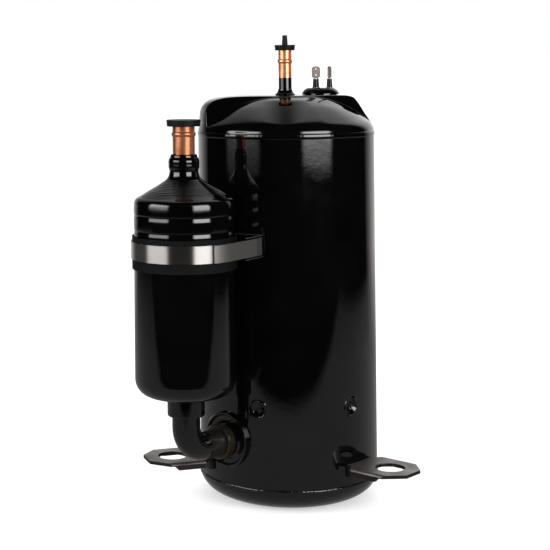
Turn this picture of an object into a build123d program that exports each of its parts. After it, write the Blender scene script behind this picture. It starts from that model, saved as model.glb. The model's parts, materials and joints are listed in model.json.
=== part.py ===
from build123d import *
import math
import os

# Hermetic rotary refrigeration compressor with a side-mounted suction accumulator.
# Millimetres. +Z is up, the shell's axis is the Z axis, z = 0 is the underside of
# the bottom cap, and the front of the machine looks along -Y.

os.makedirs("parts", exist_ok=True)

# ---- driving dimensions ------------------------------------------------------
SHELL_R = 68.5            # outside radius of the shell
WALL = 3.0                # shell and cap thickness
SHELL_IN = SHELL_R - WALL
SEAM_LOW = 17.3           # bottom cap to shell weld
SEAM_TOP = 279.0          # top cap to shell weld
CAP_TOP = 308.5           # plateau on the top cap
LIP_R = SHELL_IN - WALL   # inside of the cap lips that nest in the shell

ACC_AZ = 228.3            # direction of the accumulator, seen from the shell axis
ACC_DIST = 111.5          # shell axis to accumulator axis
ACC_R = 37.05             # accumulator outside radius
ACC_WALL = 1.5
ACC_LOW = 92.5            # underside of the accumulator
STRAP_Z, STRAP_H, STRAP_T = 192.7, 12.6, 0.8
BAND_Z, BAND_H, BAND_T = 185.3, 23.7, 1.35

PORT_Z = 52.0             # suction port height
ELBOW_R, ELBOW_WALL, BEND_R = 10.3, 1.2, 17.0

FOOT_AZ = (201.5, 321.5, 81.5)
FOOT_TOP, FOOT_T = 34.6, 2.5
FOOT_PCD_R, FOOT_HOLE_R = 95.0, 11.0
FOOT_TIP, FOOT_HALF = 115.5, 22.0

STUB_R, STUB_WALL = 5.1, 1.0      # discharge stub
STUB_TOP = 343.3
INLET_R, INLET_WALL = 8.15, 1.0   # suction inlet stub
INLET_TOP = 288.3

TERM_X, TERM_Y, TERM_R = 27.9, 16.0, 14.75
PIN_RING = 7.1
SLEEVE_TOP = 320.5        # insulator sleeves on the pins

# pump and motor
VANE_AZ = 252.3
ECC = 5.0                 # crank throw
BORE_R = 27.0             # cylinder bore
GAP = 0.03                # running clearance, radial
ROLLER_R = BORE_R - ECC - GAP
ECC_R = 15.0
BLOCK_Z, BLOCK_H, BLOCK_R = 39.0, 26.0, 60.0
VANE_T, VANE_L = 3.2, 24.0
BOLT_AZ, BOLT_RING, BOLT_R = (296, 8, 80, 152, 200), 42.0, 2.5
JOURNAL_R, LOWER_R = 9.0, 8.0
STATOR_Z, STATOR_H, STATOR_BORE = 130.0, 75.0, 36.5
ROTOR_R = 36.0
SLOTS, BARS = 24, 20
WELD_AZ, WELD_Z, WELD_R = (251.3, 313.3, 102.0), 77.0, 5.8
PORT_AZ = 274.0           # discharge port in the main bearing
STOP_RUN = 30.0           # reed length from rivet to port


def polar(r, az, z=None):
    """Point at radius r and azimuth az in degrees."""
    x, y = r * math.cos(math.radians(az)), r * math.sin(math.radians(az))
    return (x, y) if z is None else (x, y, z)


def radial(az, r=0.0, z=0.0):
    """Plane whose normal points outward along az, with +Z as its second axis."""
    c, s = math.cos(math.radians(az)), math.sin(math.radians(az))
    return Plane(origin=(r * c, r * s, z), x_dir=(-s, c, 0), z_dir=(c, s, 0))


def meridian(x, y):
    """Upright plane through (x, y) for profiles turned about the vertical there."""
    return Plane(origin=(x, y, 0), x_dir=(1, 0, 0), z_dir=(0, -1, 0))


def acc(n, t):
    """From accumulator axes (n outward from the shell axis, t along increasing azimuth)."""
    c, s = math.cos(math.radians(ACC_AZ)), math.sin(math.radians(ACC_AZ))
    return (n * c - t * s, n * s + t * c)


ACC_X, ACC_Y = acc(ACC_DIST, 0)
ACC_AXIS = Axis((ACC_X, ACC_Y, 0), (0, 0, 1))
VX, VY = polar(1, VANE_AZ)


def write(piece, name):
    piece.part.label = name
    export_step(piece.part, f"parts/{name}.step")


# ---- shell, caps and seam welds ----------------------------------------------
with BuildPart() as main_shell:
    with BuildSketch(Plane.XY.offset(SEAM_LOW)):
        Circle(SHELL_R)
        Circle(SHELL_IN, mode=Mode.SUBTRACT)
    extrude(amount=SEAM_TOP - SEAM_LOW)
    # suction port hole
    with BuildSketch(radial(ACC_AZ, 40, PORT_Z)):
        Circle(ELBOW_R)
    extrude(amount=60, mode=Mode.SUBTRACT)
    # holes for the welds that hold the pump
    for az in WELD_AZ:
        with BuildSketch(radial(az, 50, WELD_Z)):
            Circle(WELD_R)
        extrude(amount=40, mode=Mode.SUBTRACT)
write(main_shell, "main_shell")


def cap_solid(rise, shrink, tall, dome):
    """Sloping crown with the raised plateau that carries the stub and the terminal."""
    with BuildPart() as body:
        with BuildSketch(Plane.XZ):
            with BuildLine():
                Line((0, tall[0][1]), tall[0])
                Spline(*tall, tangents=[(1, 0), (0, -1)])
                Polyline(tall[-1], (tall[-1][0], SEAM_TOP), (0, SEAM_TOP), (0, tall[0][1]))
            make_face()
        revolve(axis=Axis.Z)
        with BuildSketch(Plane.XY.offset(SEAM_TOP)):
            Circle(32 - shrink)
            with Locations((-38, 0)):
                Rectangle(76, 2 * (30 - shrink))
            with Locations(polar((59 - shrink) / 2, 29)):
                RectangleRounded(59 - shrink, 2 * (28 - shrink), 10, rotation=29)
        extrude(amount=rise, mode=Mode.INTERSECT)
        with BuildSketch(Plane.XZ):
            with BuildLine():
                Spline(*dome, tangents=[(1, 0), (0, -1)])
                Polyline(dome[-1], (dome[-1][0], SEAM_TOP), (0, SEAM_TOP), dome[0])
            make_face()
        revolve(axis=Axis.Z)
    return body.part


CAP_OUT = cap_solid(
    40, 0,
    [(42, CAP_TOP), (54, 307.2), (60.5, 303.7), (64.6, 298),
     (66.8, 291), (68.3, 284.5), (SHELL_R, 281)],
    [(0, CAP_TOP - 0.3), (18, 308.0), (32, 306.2), (44, 301.9), (57, 294.4),
     (64.5, 288.9), (67.8, 285), (SHELL_R, 281.5)],
)
CAP_IN = cap_solid(
    40, WALL,
    [(40, CAP_TOP - 3), (51.5, 304.3), (57.6, 301), (61.0, 296),
     (62.3, 290), (LIP_R, 283)],
    [(0, CAP_TOP - 3.3), (18, 305.0), (31, 303.3), (42.6, 299.2), (55, 292),
     (60.5, 287.8), (62.2, 285), (LIP_R, 282)],
)

with BuildPart() as top_cap:
    add(CAP_OUT)
    # lip that nests inside the shell
    with BuildSketch(Plane.XY.offset(SEAM_TOP - 8)):
        Circle(SHELL_IN)
    extrude(amount=8)
    with BuildSketch(Plane.XY.offset(SEAM_TOP - 8)):
        Circle(LIP_R)
    extrude(amount=9, mode=Mode.SUBTRACT)
    add(CAP_IN, mode=Mode.SUBTRACT)
    # openings for the discharge stub and the terminal
    with BuildSketch(Plane.XY.offset(290)):
        Circle(STUB_R)
        with Locations((TERM_X, TERM_Y)):
            Circle(TERM_R - 1.75)
    extrude(amount=30, mode=Mode.SUBTRACT)
write(top_cap, "top_cap")

with BuildPart() as bottom_cap:
    with BuildSketch(Plane.XZ):
        with BuildLine():
            Polyline((0, 3), (0, 0), (40, 0))
            Spline((40, 0), (57, 3.2), (65, 9), (68, 14), (SHELL_R, SEAM_LOW),
                   tangents=[(1, 0), (0, 1)])
            Polyline((SHELL_R, SEAM_LOW), (SHELL_IN, SEAM_LOW), (SHELL_IN, SEAM_LOW + 9),
                     (LIP_R, SEAM_LOW + 9), (LIP_R, SEAM_LOW - 2))
            Spline((LIP_R, SEAM_LOW - 2), (60.6, 10.5), (55.6, 6.4), (39, 3),
                   tangents=[(0, -1), (-1, 0)])
            Line((39, 3), (0, 3))
        make_face()
    revolve(axis=Axis.Z)
write(bottom_cap, "bottom_cap")

for label, height, proud in (("top_seam_weld", SEAM_TOP, 0.45), ("bottom_seam_weld", SEAM_LOW, 0.9)):
    with BuildPart() as seam_weld:
        with BuildSketch(Plane.XZ):
            with Locations((SHELL_R, height)):
                Ellipse(proud, 1.9)
            with Locations((SHELL_R - 5, height)):
                Rectangle(10, 10, mode=Mode.SUBTRACT)
        revolve(axis=Axis.Z)
    write(seam_weld, label)

# ---- feet --------------------------------------------------------------------
for label, az in zip(("foot_left", "foot_right", "foot_rear"), FOOT_AZ):
    flat = Plane(origin=(0, 0, FOOT_TOP), x_dir=polar(1, az, 0), z_dir=(0, 0, 1))
    with BuildPart() as foot:
        with BuildSketch(flat):
            with BuildLine():
                Polyline((60, -15), (71, -15), (75, -FOOT_HALF), (102.5, -FOOT_HALF),
                         (FOOT_TIP, -9), (FOOT_TIP, 9), (102.5, FOOT_HALF),
                         (75, FOOT_HALF), (71, 15), (60, 15), close=True)
            make_face()
            with Locations((FOOT_PCD_R, 0)):
                Circle(FOOT_HOLE_R, mode=Mode.SUBTRACT)
        extrude(amount=-FOOT_T)
        # side flanges turned down near the shell
        for side in (-1, 1):
            wall = Plane(origin=flat.from_local_coords((0, side * FOOT_HALF, 0)),
                         x_dir=polar(1, az, 0), z_dir=polar(side, az + 90, 0))
            up = 1 if wall.y_dir.Z > 0 else -1
            with BuildSketch(wall):
                with BuildLine():
                    Polyline((75, 0), (101, 0), (99, -3.2 * up), (96.5, -5.6 * up),
                             (75, -5.6 * up), close=True)
                make_face()
            extrude(amount=-FOOT_T)
        bend = foot.edges().filter_by(Axis((0, 0, 0), polar(1, az, 0))).group_by(Axis.Z)[-1]
        bend = [e for e in bend if e.length > 20]
        fillet(bend, radius=2.2)
        # weld tab against the shell
        with BuildSketch(Plane.XY.offset(FOOT_TOP - 9)):
            Circle(SHELL_R + FOOT_T)
            Circle(SHELL_R, mode=Mode.SUBTRACT)
            with Locations(polar(75, az)):
                Rectangle(30, 30, rotation=az, mode=Mode.INTERSECT)
        extrude(amount=9)
        with BuildSketch(Plane.XY):
            Circle(SHELL_R)
        extrude(amount=60, mode=Mode.SUBTRACT)
    write(foot, label)

# ---- discharge stub ------------------------------------------------------------
with BuildPart() as discharge_stub:
    with BuildSketch(Plane.XZ):
        with BuildLine():
            # stop shoulder inside, then the socket, with a bead rolled near its mouth
            Polyline((STUB_R - STUB_WALL, 312), (STUB_R - 1.5, 312), (STUB_R - 1.5, 300),
                     (STUB_R, 300), (STUB_R, 333.0))
            ThreePointArc((STUB_R, 333.0), (STUB_R + 0.75, 334.7), (STUB_R, 336.4))
            Polyline((STUB_R, 336.4), (STUB_R, STUB_TOP), (STUB_R - STUB_WALL, STUB_TOP),
                     (STUB_R - STUB_WALL, 336.4))
            ThreePointArc((STUB_R - STUB_WALL, 336.4), (STUB_R - STUB_WALL + 0.7, 334.7),
                          (STUB_R - STUB_WALL, 333.0))
            Line((STUB_R - STUB_WALL, 333.0), (STUB_R - STUB_WALL, 312))
        make_face()
    revolve(axis=Axis.Z)
write(discharge_stub, "discharge_stub")

with BuildPart() as discharge_collar:
    with BuildSketch(Plane.XZ):
        with BuildLine():
            Polyline((STUB_R, CAP_TOP), (8.0, CAP_TOP), (7.6, CAP_TOP + 0.8))
            Spline((7.6, CAP_TOP + 0.8), (6.2, CAP_TOP + 2.2), (STUB_R + 0.35, CAP_TOP + 4.4))
            Polyline((STUB_R + 0.35, CAP_TOP + 4.4), (STUB_R, CAP_TOP + 4.7), (STUB_R, CAP_TOP))
        make_face()
    revolve(axis=Axis.Z)
write(discharge_collar, "discharge_collar")

with BuildPart() as discharge_plug:
    with BuildSketch(Plane.XZ):
        with BuildLine():
            Polyline((0, STUB_TOP - 6.8), (3.6, STUB_TOP - 6.8), (STUB_R - STUB_WALL, STUB_TOP - 6),
                     (STUB_R - STUB_WALL, STUB_TOP), (7.6, STUB_TOP), (8.05, STUB_TOP + 4.2),
                     (2.3, STUB_TOP + 4.2), (1.8, STUB_TOP + 11.8), (0, STUB_TOP + 11.8), close=True)
        make_face()
    revolve(axis=Axis.Z)
write(discharge_plug, "discharge_plug")

# ---- terminal -------------------------------------------------------------------
TERM_AXIS = Axis((TERM_X, TERM_Y, 0), (0, 0, 1))
CUP_TOP = 313.6
PINS = [(TERM_X + PIN_RING * math.cos(math.radians(a)), TERM_Y + PIN_RING * math.sin(math.radians(a)))
        for a in (-4, 236, 116)]
TAB_TURN = (62, -16, -8)          # direction each spade's width runs

with BuildPart() as terminal_cup:
    with BuildSketch(meridian(TERM_X, TERM_Y)):
        with BuildLine():
            Polyline((0, 302.5), (0, CUP_TOP), (9, CUP_TOP))
            Spline((9, CUP_TOP), (12.6, CUP_TOP - 1.5), (TERM_R, CAP_TOP + 0.6),
                   tangents=[(1, 0), (0.35, -1)])
            Polyline((TERM_R, CAP_TOP + 0.6), (TERM_R, CAP_TOP), (TERM_R - 1.75, CAP_TOP),
                     (TERM_R - 1.75, 302.5), (0, 302.5))
        make_face()
    revolve(axis=TERM_AXIS)
    with BuildSketch(Plane.XY.offset(300)):
        with Locations((TERM_X, TERM_Y)):
            Circle(TERM_R - 3.6)
    extrude(amount=CUP_TOP - 2.4 - 300, mode=Mode.SUBTRACT)
    with BuildSketch(Plane.XY.offset(300)):
        with Locations(*PINS):
            Circle(2.9)
    extrude(amount=20, mode=Mode.SUBTRACT)
write(terminal_cup, "terminal_cup")

with BuildPart() as terminal_glass:
    with BuildSketch(Plane.XY.offset(CUP_TOP - 2.4)):
        with Locations(*PINS):
            Circle(2.9)
            Circle(1.6, mode=Mode.SUBTRACT)
    extrude(amount=2.7)
write(terminal_glass, "terminal_glass")

with BuildPart() as pin_insulators:
    with BuildSketch(Plane.XY.offset(CUP_TOP + 0.3)):
        with Locations(*PINS):
            Circle(2.3)
    extrude(amount=SLEEVE_TOP - CUP_TOP - 0.3, taper=3)
    with BuildSketch(Plane.XY.offset(CUP_TOP)):
        with Locations(*PINS):
            Circle(1.6)
    extrude(amount=12, mode=Mode.SUBTRACT)
write(pin_insulators, "pin_insulators")

with BuildPart() as terminal_pins:
    with BuildSketch(Plane.XY.offset(293)):
        with Locations(*PINS):
            Circle(1.6)
    extrude(amount=SLEEVE_TOP + 0.8 - 293)
    for (x, y), turn in zip(PINS, TAB_TURN):
        with BuildSketch(Plane(origin=(x, y, SLEEVE_TOP - 3.2), x_dir=polar(1, turn, 0), z_dir=(0, 0, 1))):
            Rectangle(6.4, 0.8)
        extrude(amount=10, mode=Mode.SUBTRACT)
write(terminal_pins, "terminal_pins")

with BuildPart() as terminal_tabs:
    for (x, y), turn in zip(PINS, TAB_TURN):
        face = Plane(origin=(x, y, 0), x_dir=polar(1, turn, 0), z_dir=polar(1, turn - 90, 0))
        with BuildSketch(face):
            with BuildLine():
                Polyline((-1.5, SLEEVE_TOP - 3.2), (1.5, SLEEVE_TOP - 3.2), (1.5, SLEEVE_TOP + 0.8),
                         (2.9, 322.1), (3.0, 328.8), (1.7, 330.4), (-1.7, 330.4),
                         (-3.0, 328.8), (-2.9, 322.1), (-1.5, SLEEVE_TOP + 0.8), close=True)
            make_face()
            with Locations((0, 328.4), (0, 323.7)):
                Circle(0.85, mode=Mode.SUBTRACT)
        extrude(amount=0.4, both=True)
write(terminal_tabs, "terminal_tabs")

with BuildPart() as lead_connector:
    with BuildSketch(Plane.XY.offset(286)):
        with Locations((TERM_X, TERM_Y)):
            RectangleRounded(22, 22, 5, rotation=29)
    extrude(amount=11)
    with BuildSketch(Plane.XY.offset(293)):
        with Locations(*PINS):
            Circle(1.6)
    extrude(amount=10, mode=Mode.SUBTRACT)
write(lead_connector, "lead_connector")

# ---- suction port, elbow and accumulator -------------------------------------------
RADIAL_AXIS = Axis((0, 0, PORT_Z), polar(1, ACC_AZ, 0))
along_port = Plane(origin=(0, 0, PORT_Z), x_dir=polar(1, ACC_AZ, 0), z_dir=polar(1, ACC_AZ + 90, 0))
BOSS_R, NECK_R = 20.6, 12.9

with BuildPart() as suction_port_boss:
    with BuildSketch(along_port):
        with BuildLine():
            Polyline((60, ELBOW_R), (80.4, ELBOW_R), (80.4, NECK_R - 0.8), (79.6, NECK_R),
                     (71.2, NECK_R), (69.9, NECK_R + 1.4), (69.9, BOSS_R - 3.0),
                     (71.2, BOSS_R - 1.8), (71.2, BOSS_R - 0.7), (70.5, BOSS_R),
                     (60, BOSS_R), close=True)
        make_face()
    revolve(axis=RADIAL_AXIS)
    with BuildSketch(Plane.XY):
        Circle(SHELL_R)
    extrude(amount=100, mode=Mode.SUBTRACT)
write(suction_port_boss, "suction_port_boss")

with BuildPart() as suction_elbow:
    with BuildLine(Plane(origin=(0, 0, 0), x_dir=polar(1, ACC_AZ, 0), z_dir=polar(1, ACC_AZ - 90, 0))) as run:
        Line((62, PORT_Z), (ACC_DIST - BEND_R, PORT_Z))
        RadiusArc((ACC_DIST - BEND_R, PORT_Z), (ACC_DIST, PORT_Z + BEND_R), -BEND_R)
        Line((ACC_DIST, PORT_Z + BEND_R), (ACC_DIST, ACC_LOW + 3))
    with BuildSketch(radial(ACC_AZ, 62, PORT_Z)):
        Circle(ELBOW_R)
        Circle(ELBOW_R - ELBOW_WALL, mode=Mode.SUBTRACT)
    sweep(path=run.wires()[0])
write(suction_elbow, "suction_elbow")

with BuildPart() as suction_liner:
    with BuildSketch(radial(ACC_AZ, 46, PORT_Z)):
        Circle(ELBOW_R - ELBOW_WALL)
        Circle(7.6, mode=Mode.SUBTRACT)
    extrude(amount=26)
write(suction_liner, "suction_liner")

with BuildPart() as elbow_collar:
    with BuildSketch(Plane.XY.offset(77.3)):
        with Locations((ACC_X, ACC_Y)):
            Circle(13.7)
            Circle(ELBOW_R, mode=Mode.SUBTRACT)
    extrude(amount=ACC_LOW - 77.3)
    fillet(elbow_collar.edges().group_by(Axis.Z)[0].sort_by(SortBy.LENGTH)[-1], radius=1.6)
write(elbow_collar, "elbow_collar")

ACC_OUT = [(ACC_R, 228.0), (36.7, 233.2), (34.4, 236.5), (29.3, 239.4), (25.8, 241.6),
           (18.3, 246.0), (12.4, 250.3), (10.7, 254.5)]
with BuildPart() as accumulator_shell:
    with BuildSketch(meridian(ACC_X, ACC_Y)):
        with BuildLine():
            Line((ELBOW_R, ACC_LOW), (ACC_R - 12.5, ACC_LOW))
            ThreePointArc((ACC_R - 12.5, ACC_LOW),
                          (ACC_R - 12.5 + 12.5 * math.sin(math.radians(45)),
                           ACC_LOW + 12.5 * (1 - math.cos(math.radians(45)))),
                          (ACC_R, ACC_LOW + 12.5))
            Line((ACC_R, ACC_LOW + 12.5), (ACC_R, 209.8))
            # rolled grooves that hold the baffle and the screen
            Polyline((ACC_R, 209.8), (ACC_R, 210.6), (ACC_R - 0.45, 213.4), (ACC_R, 214.2),
                     (ACC_R, 221.8), (ACC_R - 0.45, 224.6), (ACC_R, 225.4), ACC_OUT[0])
            Spline(*ACC_OUT, tangents=[(0, 1), (0, 1)])
            Polyline(ACC_OUT[-1], (10.7, 256.5), (11.3, 258.0), (11.3, 264.0), (10.2, 265.2),
                     (9.7, 268.0), (INLET_R, 268.0), (INLET_R, 243.0))
            Spline((INLET_R, 243.0), (16.5, 243.5), (24.6, 239.2), (31.2, 235.2),
                   (34.9, 231.2), (ACC_R - ACC_WALL, 227.0))
            Polyline((ACC_R - ACC_WALL, 227.0), (ACC_R - ACC_WALL, 226.4),
                     (ACC_R - ACC_WALL - 0.9, 224.4), (ACC_R - ACC_WALL - 0.9, 222.8),
                     (ACC_R - ACC_WALL, 220.8), (ACC_R - ACC_WALL, 215.0),
                     (ACC_R - ACC_WALL - 0.9, 213.0), (ACC_R - ACC_WALL - 0.9, 211.4),
                     (ACC_R - ACC_WALL, 209.4), (ACC_R - ACC_WALL, ACC_LOW + 12.5))
            ThreePointArc((ACC_R - ACC_WALL, ACC_LOW + 12.5),
                          (ACC_R - 12.5 + 11 * math.sin(math.radians(45)),
                           ACC_LOW + 12.5 - 11 * math.cos(math.radians(45))),
                          (ACC_R - 12.5, ACC_LOW + 1.5))
            Polyline((ACC_R - 12.5, ACC_LOW + 1.5), (ELBOW_R, ACC_LOW + 1.5), (ELBOW_R, ACC_LOW))
        make_face()
    revolve(axis=ACC_AXIS)
write(accumulator_shell, "accumulator_shell")

with BuildPart() as inlet_stub:
    with BuildSketch(meridian(ACC_X, ACC_Y)):
        with BuildLine():
            Polyline((INLET_R - INLET_WALL, 269), (INLET_R - 1.7, 269), (INLET_R - 1.7, 236),
                     (INLET_R, 236), (INLET_R, 280.7))
            ThreePointArc((INLET_R, 280.7), (INLET_R + 0.8, 282.5), (INLET_R, 284.3))
            Polyline((INLET_R, 284.3), (INLET_R, INLET_TOP), (INLET_R - INLET_WALL, INLET_TOP),
                     (INLET_R - INLET_WALL, 284.3))
            ThreePointArc((INLET_R - INLET_WALL, 284.3), (INLET_R - INLET_WALL + 0.75, 282.5),
                          (INLET_R - INLET_WALL, 280.7))
            Line((INLET_R - INLET_WALL, 280.7), (INLET_R - INLET_WALL, 269))
        make_face()
    revolve(axis=ACC_AXIS)
write(inlet_stub, "inlet_stub")

with BuildPart() as inlet_plug:
    with BuildSketch(meridian(ACC_X, ACC_Y)):
        with BuildLine():
            Polyline((0, INLET_TOP - 6), (5.6, INLET_TOP - 6), (INLET_R - INLET_WALL, INLET_TOP - 2.6),
                     (INLET_R - INLET_WALL, INLET_TOP), (12.2, INLET_TOP), (12.6, INLET_TOP + 4.7),
                     (0, INLET_TOP + 4.7), close=True)
        make_face()
    revolve(axis=ACC_AXIS)
write(inlet_plug, "inlet_plug")

with BuildPart() as standpipe:
    with BuildSketch(Plane.XY.offset(84)):
        with Locations((ACC_X, ACC_Y)):
            Circle(ELBOW_R - ELBOW_WALL)
            Circle(7.9, mode=Mode.SUBTRACT)
    extrude(amount=196 - 84)
    # oil bleed hole
    with BuildSketch(radial(ACC_AZ, ACC_DIST, 112)):
        Circle(0.9)
    extrude(amount=20, mode=Mode.SUBTRACT)
write(standpipe, "standpipe")

with BuildPart() as baffle_plate:
    with BuildSketch(Plane.XY.offset(211.6)):
        with Locations((ACC_X, ACC_Y)):
            Circle(ACC_R - ACC_WALL - 0.9)
        with Locations((ACC_X, ACC_Y)):
            with PolarLocations(24, 8):
                Circle(3.6, mode=Mode.SUBTRACT)
    extrude(amount=1.2)
write(baffle_plate, "baffle_plate")

with BuildPart() as strainer_screen:
    with BuildSketch(meridian(ACC_X, ACC_Y)):
        with BuildLine():
            Polyline((0, 217.4), (8, 217.4), (26, 223.2), (ACC_R - ACC_WALL - 0.9, 223.2),
                     (ACC_R - ACC_WALL - 0.9, 224.0), (25.8, 224.0), (7.8, 218.2), (0, 218.2), close=True)
        make_face()
    revolve(axis=ACC_AXIS)
write(strainer_screen, "strainer_screen")

# ---- strap, rubber band and bracket --------------------------------------------------
HOOK_N, HOOK_T = 71.2, 32.9       # where each strap leg meets its bracket arm


def tangent(radius, n, t):
    """Angle at the accumulator axis where the line from (n, t) touches the circle."""
    dx, dy = n - ACC_DIST, t
    return math.degrees(math.atan2(dy, dx) - math.acos(radius / math.hypot(dx, dy)))


MID = ACC_R + BAND_T + STRAP_T / 2
BETA = tangent(MID, HOOK_N, HOOK_T)
ARM_T = 1.2
ARM_MID = MID + STRAP_T / 2 + ARM_T / 2 + 0.1


def leg(radius, angle, side):
    """Point on a circle about the accumulator axis, angle from the outward direction."""
    a = math.radians(angle)
    return acc(ACC_DIST + radius * math.cos(a), side * radius * math.sin(a))


with BuildPart() as strap_rubber_band:
    with BuildSketch(Plane.XY.offset(BAND_Z)):
        with Locations((ACC_X, ACC_Y)):
            Circle(ACC_R + BAND_T)
            Circle(ACC_R, mode=Mode.SUBTRACT)
    extrude(amount=BAND_H)
write(strap_rubber_band, "strap_rubber_band")

with BuildPart() as accumulator_strap:
    with BuildSketch(Plane.XY.offset(STRAP_Z)):
        with BuildLine() as loop:
            CenterArc((ACC_X, ACC_Y), MID, ACC_AZ - BETA, 2 * BETA)
        trace(loop.line, line_width=STRAP_T)
        for side in (-1, 1):
            with BuildLine() as straight:
                Line(leg(MID, BETA, side), acc(HOOK_N, side * HOOK_T))
            trace(straight.line, line_width=STRAP_T)
    extrude(amount=STRAP_H)
write(accumulator_strap, "accumulator_strap")

off = ARM_MID - MID
shift = (off * math.cos(math.radians(BETA)), off * math.sin(math.radians(BETA)))
BASE_AZ = 27.0
with BuildPart() as accumulator_bracket:
    with BuildSketch(Plane.XY.offset(STRAP_Z - 1.8)):
        with BuildLine() as seat:
            CenterArc((0, 0), SHELL_R + 0.75, ACC_AZ - BASE_AZ, 2 * BASE_AZ)
        trace(seat.line, line_width=1.5)
        for side in (-1, 1):
            hook = acc(HOOK_N + shift[0], side * (HOOK_T + shift[1]))
            with BuildLine() as arm:
                Line(polar(SHELL_R + 0.75, ACC_AZ + side * (BASE_AZ - 0.4)), hook)
            trace(arm.line, line_width=1.3)
            with BuildLine() as arm:
                Line(hook, leg(ARM_MID, BETA, side))
            trace(arm.line, line_width=ARM_T)
            with BuildLine() as arm:
                CenterArc((ACC_X, ACC_Y), ARM_MID,
                          ACC_AZ + (BETA - 22 if side > 0 else -BETA), 22)
            trace(arm.line, line_width=ARM_T)
    extrude(amount=STRAP_H + 3.6)
    # the arms are as tall as the strap, only the seat is taller
    with BuildSketch(Plane.XY.offset(STRAP_Z - 1.8)):
        with Locations((ACC_X, ACC_Y)):
            Circle(ARM_MID + 5)
        Circle(SHELL_R + 6, mode=Mode.SUBTRACT)
    extrude(amount=1.8, mode=Mode.SUBTRACT)
    with BuildSketch(Plane.XY.offset(STRAP_Z + STRAP_H)):
        with Locations((ACC_X, ACC_Y)):
            Circle(ARM_MID + 5)
        Circle(SHELL_R + 6, mode=Mode.SUBTRACT)
    extrude(amount=4, mode=Mode.SUBTRACT)
write(accumulator_bracket, "accumulator_bracket")

# ---- pump mounting welds -----------------------------------------------------------------
with BuildPart() as plug_welds:
    for az in WELD_AZ:
        with BuildSketch(radial(az, 60, WELD_Z)):
            Circle(WELD_R)
        extrude(amount=SHELL_R - 0.7 - 60)
    with BuildSketch(Plane.XY):
        Circle(SHELL_IN)
    extrude(amount=120, mode=Mode.SUBTRACT)
write(plug_welds, "plug_welds")

# ---- pump -----------------------------------------------------------------------------------
BLOCK_TOP = BLOCK_Z + BLOCK_H
BOLTS = [polar(BOLT_RING, a) for a in BOLT_AZ]

with BuildPart() as cylinder_block:
    with BuildSketch(Plane.XY.offset(BLOCK_Z)):
        Circle(BLOCK_R)
        Circle(BORE_R, mode=Mode.SUBTRACT)
        with Locations(*BOLTS):
            Circle(BOLT_R + 0.05, mode=Mode.SUBTRACT)
        # oil and gas passages between the bolts
        with Locations(polar(53, 44), polar(53, 116), polar(53, 180)):
            Circle(4, mode=Mode.SUBTRACT)
        # vane slot, open to the bore, ending in a relief hole
        with Locations(polar(40, VANE_AZ)):
            Rectangle(32, VANE_T + 2 * GAP, rotation=VANE_AZ, mode=Mode.SUBTRACT)
    extrude(amount=BLOCK_H)
    # spring pocket behind the vane
    with BuildSketch(radial(VANE_AZ, BORE_R + VANE_L - 4, BLOCK_Z + BLOCK_H / 2)):
        Circle(4.6)
    extrude(amount=30, mode=Mode.SUBTRACT)
    # suction hole: wide where the liner sits, then narrower to the bore
    with BuildSketch(radial(ACC_AZ, 46, PORT_Z)):
        Circle(ELBOW_R - ELBOW_WALL)
    extrude(amount=40, mode=Mode.SUBTRACT)
    with BuildSketch(radial(ACC_AZ, 10, PORT_Z)):
        Circle(6.8)
    extrude(amount=40, mode=Mode.SUBTRACT)
write(cylinder_block, "cylinder_block")

with BuildPart() as main_bearing:
    with BuildSketch(Plane.XZ):
        with BuildLine():
            Polyline((JOURNAL_R + GAP, BLOCK_TOP), (56, BLOCK_TOP), (56, BLOCK_TOP + 3),
                     (SHELL_IN, BLOCK_TOP + 3), (SHELL_IN, 86), (57, 86), (57, BLOCK_TOP + 12),
                     (16, BLOCK_TOP + 12), (15, 106), (14, 108), (JOURNAL_R + GAP, 108), close=True)
        make_face()
    revolve(axis=Axis.Z)
    with BuildSketch(Plane.XY.offset(BLOCK_TOP)):
        with Locations(*BOLTS):
            Circle(BOLT_R + 0.05)
        with Locations(polar(24, PORT_AZ)):
            Circle(3.4)
        with Locations(*[polar(60.5, a) for a in (34, 66, 134, 166, 204, 282, 344)]):
            Circle(2.2)
    extrude(amount=30, mode=Mode.SUBTRACT)
    # pocket for the reed and its stop
    valve = Plane(origin=polar(24, PORT_AZ, BLOCK_TOP + 7), x_dir=polar(1, PORT_AZ + 90, 0), z_dir=(0, 0, 1))
    with BuildSketch(valve):
        with Locations((STOP_RUN / 2, 0)):
            SlotOverall(STOP_RUN + 14, 12)
    extrude(amount=20, mode=Mode.SUBTRACT)
write(main_bearing, "main_bearing")

with BuildPart() as sub_bearing:
    with BuildSketch(Plane.XZ):
        with BuildLine():
            Polyline((LOWER_R + GAP, BLOCK_Z), (52, BLOCK_Z), (52, BLOCK_Z - 8), (13, BLOCK_Z - 8),
                     (12.4, 20), (LOWER_R + GAP, 20), close=True)
        make_face()
    revolve(axis=Axis.Z)
    with BuildSketch(Plane.XY.offset(BLOCK_Z - 8)):
        with Locations(*BOLTS):
            Circle(BOLT_R + 0.05)
    extrude(amount=8, mode=Mode.SUBTRACT)
write(sub_bearing, "sub_bearing")

with BuildPart() as pump_bolts:
    with BuildSketch(Plane.XY.offset(BLOCK_Z - 8)):
        with Locations(*BOLTS):
            Circle(BOLT_R)
    extrude(amount=BLOCK_TOP + 12 - BLOCK_Z + 8)
    with BuildSketch(Plane.XY.offset(BLOCK_Z - 13)):
        with Locations(*BOLTS):
            RegularPolygon(4.4, 6)
    extrude(amount=5)
write(pump_bolts, "pump_bolts")

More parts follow.
